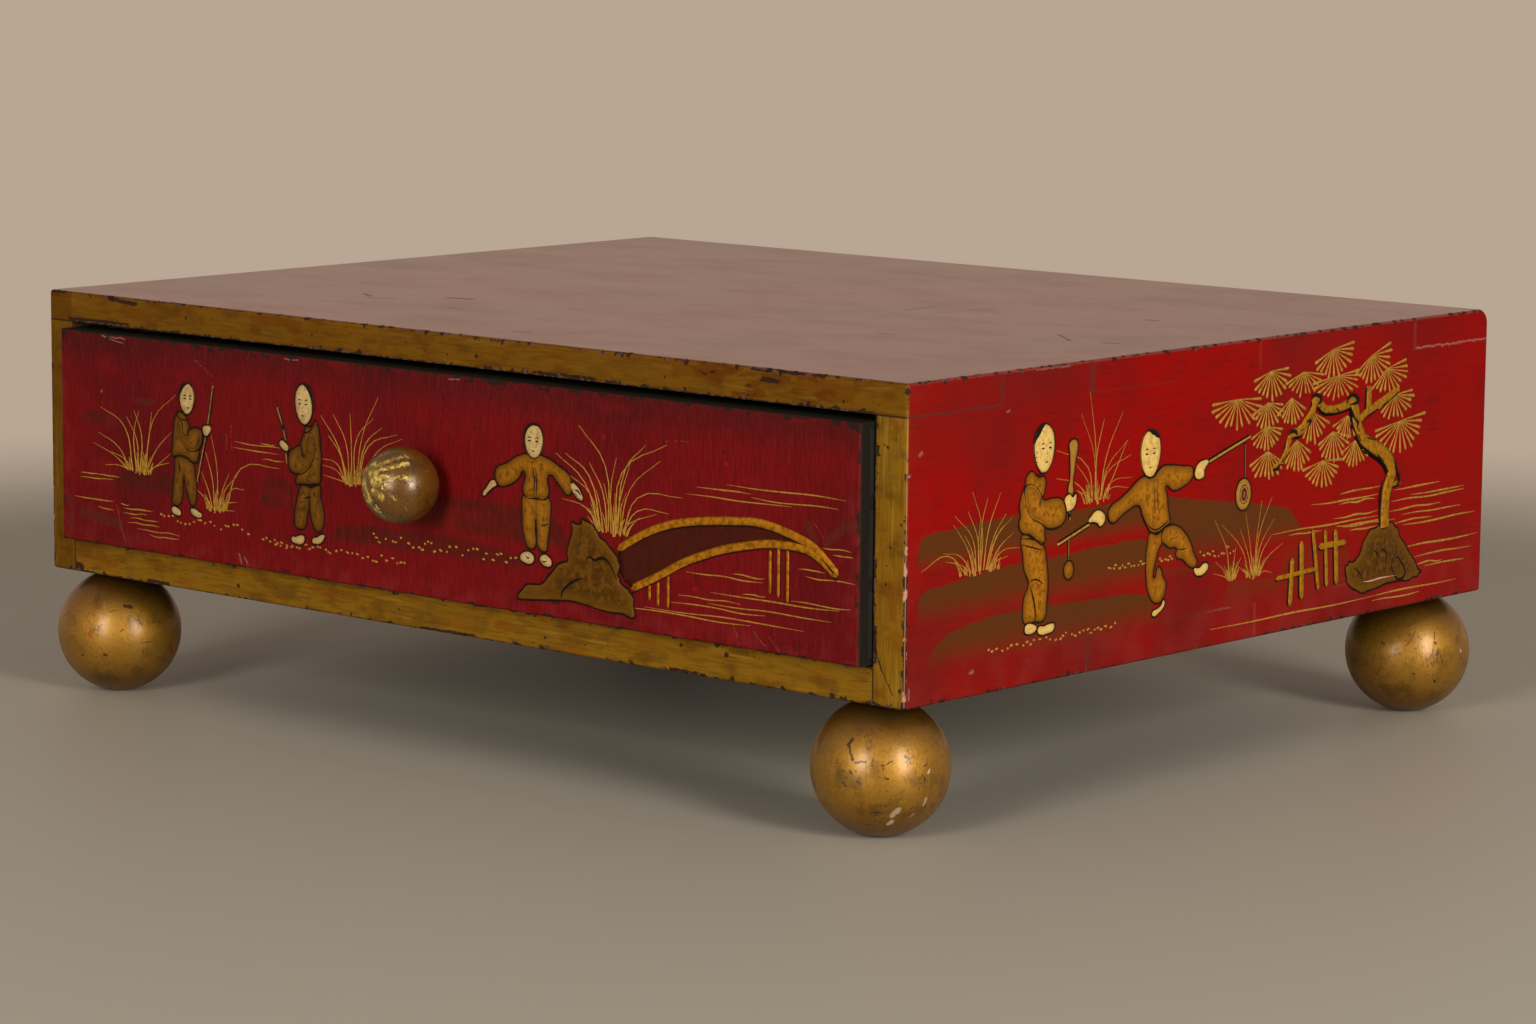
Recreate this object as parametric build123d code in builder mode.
from build123d import *
import os

# Low lacquered box on four turned ball feet, with one drawer across its front.
# Millimetres. +X is the viewer's right, +Y runs to the back, +Z is up.
# The origin is on the table, below the middle of the space that the box takes up.

# Case, outside sizes and board thicknesses
case_width = 381.0
case_depth = 305.0
case_height = 96.0
top_thickness = 10.0
bottom_thickness = 11.5
side_thickness = 12.0
back_thickness = 8.0
back_lap = 5.0  # how far the back board lies in the rebate round it
finger_count = 7  # wide fingers along each corner, from front to back
arris = 1.2  # worn rounding of the outside edges
back_top_rounding = 5.0  # the top's rear edge is rounded over further

# Ball feet, turned with a spigot that is glued into the bottom board
foot_diameter = 42.0
foot_flat = 0.25  # depth of the flat at the top and at the worn bottom
foot_side_inset = 19.5  # from the case's side to the ball's axis
foot_front_inset = 13.0
foot_back_inset = 14.0
spigot_diameter = 11.0
spigot_length = 8.5
spigot_clearance = 0.05

# Drawer, board thicknesses and its running room in the case
drawer_proud = 6.0  # how far the drawer stands out of the case as photographed
drawer_side_gap = 0.7
drawer_top_gap = 2.0
drawer_under_gap = 0.6
drawer_rear_gap = 0.3  # between the drawer and the back board when pushed home
drawer_front_thickness = 14.0
drawer_side_thickness = 8.0
drawer_back_thickness = 8.0
drawer_bottom_thickness = 4.5
drawer_bottom_height = 5.0  # from the drawer's lower edge up to its bottom board
drawer_back_drop = 6.0  # the drawer back is lower than the sides
drawer_arris = 0.8
groove_depth = 4.0
groove_end_gap = 0.5  # room for the bottom board to swell in its grooves

# Dovetails of the drawer
tail_count = 3
tail_length = 9.5  # of the lapped tails, so the drawer's face stays whole
tail_slope = 1 / 6
pin_share = 0.3  # share of each pitch that the pin takes at the tails' roots

# Ball knob with its tenon and wedge
knob_diameter = 24.4
knob_standoff = 12.7  # from the drawer's face to the ball's middle
knob_rise = 1.3  # from the middle of the drawer front up to the ball's middle
knob_neck_diameter = 8.6
tenon_diameter = 7.0
tenon_clearance = 0.05
wedge_length = 9.0
wedge_thick_end = 1.8
wedge_thin_end = 0.6

# Square-cut brads
brad_shank = 1.4
brad_head = 2.8
brad_head_thickness = 0.8
back_brad_length = 20.0
back_brad_columns = 5
drawer_brad_length = 15.0
drawer_brad_count = 3

# Places that follow from the sizes above
foot_height = foot_diameter - 2 * foot_flat
front_reach = drawer_proud + knob_standoff + knob_diameter / 2
rear_reach = max(case_depth, case_depth - foot_back_inset + foot_diameter / 2)
case_front = (front_reach - rear_reach) / 2
case_back = case_front + case_depth
case_middle = (case_front + case_back) / 2
case_bottom = foot_height
case_top = case_bottom + case_height
inner_width = case_width - 2 * side_thickness
inner_bottom = case_bottom + bottom_thickness
inner_top = case_top - top_thickness
inner_height = inner_top - inner_bottom
finger_pitch = case_depth / finger_count

drawer_width = inner_width - 2 * drawer_side_gap
drawer_height = inner_height - drawer_top_gap - drawer_under_gap
drawer_depth = case_depth - back_thickness - drawer_rear_gap
drawer_face = case_front - drawer_proud
drawer_front_inside = drawer_face + drawer_front_thickness
drawer_rear = drawer_face + drawer_depth
drawer_back_inside = drawer_rear - drawer_back_thickness
drawer_low = inner_bottom + drawer_under_gap
drawer_top = drawer_low + drawer_height
drawer_inner_width = drawer_width - 2 * drawer_side_thickness
drawer_floor = drawer_low + drawer_bottom_height + drawer_bottom_thickness
drawer_back_top = drawer_top - drawer_back_drop
knob_height = (drawer_low + drawer_top) / 2 + knob_rise

os.makedirs("parts", exist_ok=True)


def finish(builder, label):
    builder.part.label = label
    export_step(builder.part, f"parts/{label}.step")


# Middles of every other finger, along Y
def finger_middles(first):
    return [case_front + (index + 0.5) * finger_pitch for index in range(first, finger_count, 2)]


# The whole case as one block with its worn edges, which trims each board
def make_case_outline():
    with BuildPart() as outline:
        with BuildSketch(Plane.XY.offset(case_bottom)):
            with Locations((0, case_middle)):
                Rectangle(case_width, case_depth)
        extrude(amount=case_height)
        rear_edges = outline.faces().sort_by(Axis.Y)[-1].edges().filter_by(Axis.X)
        fillet(rear_edges.sort_by(Axis.Z)[-1], radius=back_top_rounding)
        worn = outline.faces().sort_by(Axis.X)[-1].edges()
        worn += outline.faces().sort_by(Axis.X)[0].edges()
        worn += outline.faces().sort_by(Axis.Y)[0].edges().filter_by(Axis.X)
        worn += outline.faces().sort_by(Axis.Z)[0].edges().filter_by(Axis.X).sort_by(Axis.Y)[-1:]
        fillet(worn, radius=arris)
    return outline.part


# Space of the back board, let into the rear of the case
def back_board_space():
    wide = inner_width + 2 * back_lap
    high = inner_height + 2 * back_lap
    place = (0, case_back, (inner_bottom + inner_top) / 2)
    with Locations(place):
        Box(wide, back_thickness, high, align=(Align.CENTER, Align.MAX, Align.CENTER), mode=Mode.SUBTRACT)


# Brads driven in at each place, heads flush with the plane, which faces into the wood
def make_brads(plane, places, length):
    with BuildPart() as brads:
        for width, depth in ((brad_shank, length), (brad_head, brad_head_thickness)):
            with BuildSketch(plane):
                with Locations(places):
                    Rectangle(width, width)
            extrude(amount=depth)
    return brads


# Brads round the edge of the back board, in the middle of its lap, seen from the front
def back_brad_places():
    middle = (inner_bottom + inner_top) / 2
    rows = (inner_bottom - back_lap / 2, inner_top + back_lap / 2)
    step = inner_width / back_brad_columns
    first = -(back_brad_columns - 1) / 2 * step
    places = [(first + column * step, row) for row in rows for column in range(back_brad_columns)]
    return places + [(side * (inner_width + back_lap) / 2, middle) for side in (-1, 1)]


# Brads in a row under the drawer back
def drawer_brad_places():
    row = drawer_rear - drawer_back_thickness / 2
    step = drawer_inner_width / drawer_brad_count
    first = -(drawer_brad_count - 1) / 2 * step
    return [(first + index * step, row) for index in range(drawer_brad_count)]


def make_top_board(outline, brads):
    with BuildPart() as board:
        with BuildSketch(Plane.XY.offset(inner_top)):
            with Locations((0, case_middle)):
                Rectangle(inner_width, case_depth)
            with Locations([(0, middle) for middle in finger_middles(0)]):
                Rectangle(case_width, finger_pitch)
        extrude(amount=top_thickness)
        back_board_space()
        add(outline, mode=Mode.INTERSECT)
        add(brads, mode=Mode.SUBTRACT)
    finish(board, "top_board")


def foot_places():
    across = case_width / 2 - foot_side_inset
    front = case_front + foot_front_inset
    back = case_back - foot_back_inset
    return {
        "front_left_foot": (-across, front),
        "front_right_foot": (across, front),
        "back_left_foot": (-across, back),
        "back_right_foot": (across, back),
    }


def make_bottom_board(outline, brads):
    with BuildPart() as board:
        with BuildSketch(Plane.XY.offset(case_bottom)):
            with Locations((0, case_middle)):
                Rectangle(inner_width, case_depth)
            with Locations([(0, middle) for middle in finger_middles(1)]):
                Rectangle(case_width, finger_pitch)
        extrude(amount=bottom_thickness)
        back_board_space()
        add(outline, mode=Mode.INTERSECT)
        add(brads, mode=Mode.SUBTRACT)
        with Locations([(x, y, case_bottom) for x, y in foot_places().values()]):
            Cylinder(
                spigot_diameter / 2 + spigot_clearance,
                spigot_length + spigot_clearance,
                align=(Align.CENTER, Align.CENTER, Align.MIN),
                mode=Mode.SUBTRACT,
            )
    finish(board, "bottom_board")


def make_side(outline, brads, label, side):
    outer = side * case_width / 2
    with BuildPart() as board:
        with BuildSketch(Plane.YZ.offset(outer)):
            with Locations((case_middle, (inner_bottom + inner_top) / 2)):
                Rectangle(case_depth, inner_height)
            with Locations([(middle, inner_top) for middle in finger_middles(1)]):
                Rectangle(finger_pitch, top_thickness, align=(Align.CENTER, Align.MIN))
            with Locations([(middle, case_bottom) for middle in finger_middles(0)]):
                Rectangle(finger_pitch, bottom_thickness, align=(Align.CENTER, Align.MIN))
        extrude(amount=-side * side_thickness)
        back_board_space()
        add(outline, mode=Mode.INTERSECT)
        add(brads, mode=Mode.SUBTRACT)
    finish(board, label)


def make_back_board(brads):
    with BuildPart() as board:
        with BuildSketch(Plane.XZ.offset(-case_back)):
            with Locations((0, (inner_bottom + inner_top) / 2)):
                Rectangle(inner_width + 2 * back_lap, inner_height + 2 * back_lap)
        extrude(amount=back_thickness)
        add(brads, mode=Mode.SUBTRACT)
    finish(board, "back_board")


# A turned ball, flat where it stands and where it bears on the case
def make_foot(label, x, y):
    radius = foot_diameter / 2
    middle = foot_height / 2
    flat_radius = (radius**2 - middle**2) ** 0.5
    spigot_radius = spigot_diameter / 2
    shoulder = middle + (radius**2 - spigot_radius**2) ** 0.5
    with BuildPart() as foot:
        with BuildSketch(Plane(origin=(x, y, 0), x_dir=(1, 0, 0), z_dir=(0, -1, 0))):
            with BuildLine():
                Line((0, 0), (flat_radius, 0))
                ThreePointArc((flat_radius, 0), (radius, middle), (spigot_radius, shoulder))
                Polyline(
                    (spigot_radius, shoulder),
                    (spigot_radius, foot_height + spigot_length),
                    (0, foot_height + spigot_length),
                    (0, 0),
                )
            make_face()
        revolve(axis=Axis((x, y, 0), (0, 0, 1)))
    finish(foot, label)


# Dovetail tails as outlines in the drawer side's own plane, each wider at its end
def tail_outlines(root, end, low, high):
    pitch = (high - low) / tail_count
    half_root = pitch * (1 - pin_share) / 2
    half_end = half_root + abs(end - root) * tail_slope
    outlines = []
    for index in range(tail_count):
        middle = low + (index + 0.5) * pitch
        outlines.append(
            (
                (root, middle - half_root),
                (end, middle - half_end),
                (end, middle + half_end),
                (root, middle + half_root),
            )
        )
    return outlines


def front_tails():
    return tail_outlines(drawer_front_inside, drawer_front_inside - tail_length, drawer_low, drawer_top)


def rear_tails():
    return tail_outlines(drawer_back_inside, drawer_rear, drawer_floor, drawer_back_top)


def draw_tails(outlines):
    for corners in outlines:
        Polygon(*corners, align=None)


# Groove that takes the drawer bottom, cut from whichever board is being made
def cut_bottom_groove():
    front_end = drawer_front_inside - groove_depth
    with Locations((0, front_end, drawer_floor - drawer_bottom_thickness)):
        Box(
            drawer_inner_width + 2 * groove_depth,
            drawer_rear - front_end,
            drawer_bottom_thickness,
            align=(Align.CENTER, Align.MIN, Align.MIN),
            mode=Mode.SUBTRACT,
        )


def make_drawer_front():
    with BuildPart() as board:
        with BuildSketch(Plane.XZ.offset(-drawer_face)):
            with Locations((0, (drawer_low + drawer_top) / 2)):
                Rectangle(drawer_width, drawer_height)
        extrude(amount=-drawer_front_thickness)
        fillet(board.faces().sort_by(Axis.Y)[0].edges(), radius=drawer_arris)
        for side in (-1, 1):
            with BuildSketch(Plane.YZ.offset(side * drawer_width / 2)):
                draw_tails(front_tails())
            extrude(amount=-side * drawer_side_thickness, mode=Mode.SUBTRACT)
        cut_bottom_groove()
        with BuildSketch(Plane.XZ.offset(-drawer_front_inside)):
            with Locations((0, knob_height)):
                Circle(tenon_diameter / 2 + tenon_clearance)
        extrude(amount=drawer_front_thickness, mode=Mode.SUBTRACT)
    finish(board, "drawer_front")


def make_drawer_side(label, side):
    with BuildPart() as board:
        with BuildSketch(Plane.YZ.offset(side * drawer_width / 2)):
            with Locations((drawer_front_inside, drawer_low)):
                Rectangle(
                    drawer_back_inside - drawer_front_inside,
                    drawer_height,
                    align=(Align.MIN, Align.MIN),
                )
            draw_tails(front_tails())
            draw_tails(rear_tails())
        extrude(amount=-side * drawer_side_thickness)
        cut_bottom_groove()
    finish(board, label)


def make_drawer_back(brads):
    with BuildPart() as board:
        with BuildSketch(Plane.XZ.offset(-drawer_rear)):
            with Locations((0, drawer_floor)):
                Rectangle(
                    drawer_width,
                    drawer_back_top - drawer_floor,
                    align=(Align.CENTER, Align.MIN),
                )
        extrude(amount=drawer_back_thickness)
        for side in (-1, 1):
            with BuildSketch(Plane.YZ.offset(side * drawer_width / 2)):
                draw_tails(rear_tails())
            extrude(amount=-side * drawer_side_thickness, mode=Mode.SUBTRACT)
        add(brads, mode=Mode.SUBTRACT)
    finish(board, "drawer_back")


def make_drawer_bottom(brads):
    front_end = drawer_front_inside - groove_depth + groove_end_gap
    with BuildPart() as board:
        with BuildSketch(Plane.XY.offset(drawer_floor - drawer_bottom_thickness)):
            with Locations((0, front_end)):
                Rectangle(
                    drawer_inner_width + 2 * (groove_depth - groove_end_gap),
                    drawer_rear - front_end,
                    align=(Align.CENTER, Align.MIN),
                )
        extrude(amount=drawer_bottom_thickness)
        add(brads, mode=Mode.SUBTRACT)
    finish(board, "drawer_bottom")


# Outline of the wedge, from the tenon's end towards the face
def draw_wedge():
    thin_end = drawer_front_inside - wedge_length
    Polygon(
        (-wedge_thick_end / 2, drawer_front_inside),
        (-wedge_thin_end / 2, thin_end),
        (wedge_thin_end / 2, thin_end),
        (wedge_thick_end / 2, drawer_front_inside),
        align=None,
    )


def make_knob():
    radius = knob_diameter / 2
    neck = knob_neck_diameter / 2
    tenon = tenon_diameter / 2
    middle = drawer_face - knob_standoff
    neck_front = middle + (radius**2 - neck**2) ** 0.5
    axis = Axis((0, drawer_face, knob_height), (0, 1, 0))
    with BuildPart() as knob:
        with BuildSketch(Plane.XY.offset(knob_height)):
            with BuildLine():
                ThreePointArc((0, middle - radius), (radius, middle), (neck, neck_front))
                Polyline(
                    (neck, neck_front),
                    (neck, drawer_face),
                    (tenon, drawer_face),
                    (tenon, drawer_front_inside),
                    (0, drawer_front_inside),
                    (0, middle - radius),
                )
            make_face()
        revolve(axis=axis)
        with BuildSketch(Plane.XY.offset(knob_height)):
            draw_wedge()
        extrude(amount=tenon, both=True, mode=Mode.SUBTRACT)
    finish(knob, "drawer_knob")


def make_knob_wedge():
    with BuildPart() as wedge:
        with BuildSketch(Plane.XY.offset(knob_height)):
            draw_wedge()
        extrude(amount=tenon_diameter / 2, both=True)
        with BuildSketch(Plane.XZ.offset(-drawer_front_inside)):
            with Locations((0, knob_height)):
                Circle(tenon_diameter / 2)
        extrude(amount=wedge_length, mode=Mode.INTERSECT)
    finish(wedge, "knob_wedge")


outline = make_case_outline()
back_brads = make_brads(Plane.XZ.offset(-case_back), back_brad_places(), back_brad_length)
drawer_brads = make_brads(
    Plane.XY.offset(drawer_floor - drawer_bottom_thickness), drawer_brad_places(), drawer_brad_length
)

make_top_board(outline, back_brads.part)
make_bottom_board(outline, back_brads.part)
make_side(outline, back_brads.part, "left_side", -1)
make_side(outline, back_brads.part, "right_side", 1)
make_back_board(back_brads.part)
finish(back_brads, "back_brads")
for foot_label, (foot_x, foot_y) in foot_places().items():
    make_foot(foot_label, foot_x, foot_y)

make_drawer_front()
make_drawer_side("drawer_left_side", -1)
make_drawer_side("drawer_right_side", 1)
make_drawer_back(drawer_brads.part)
make_drawer_bottom(drawer_brads.part)
finish(drawer_brads, "drawer_bottom_brads")
make_knob()
make_knob_wedge()
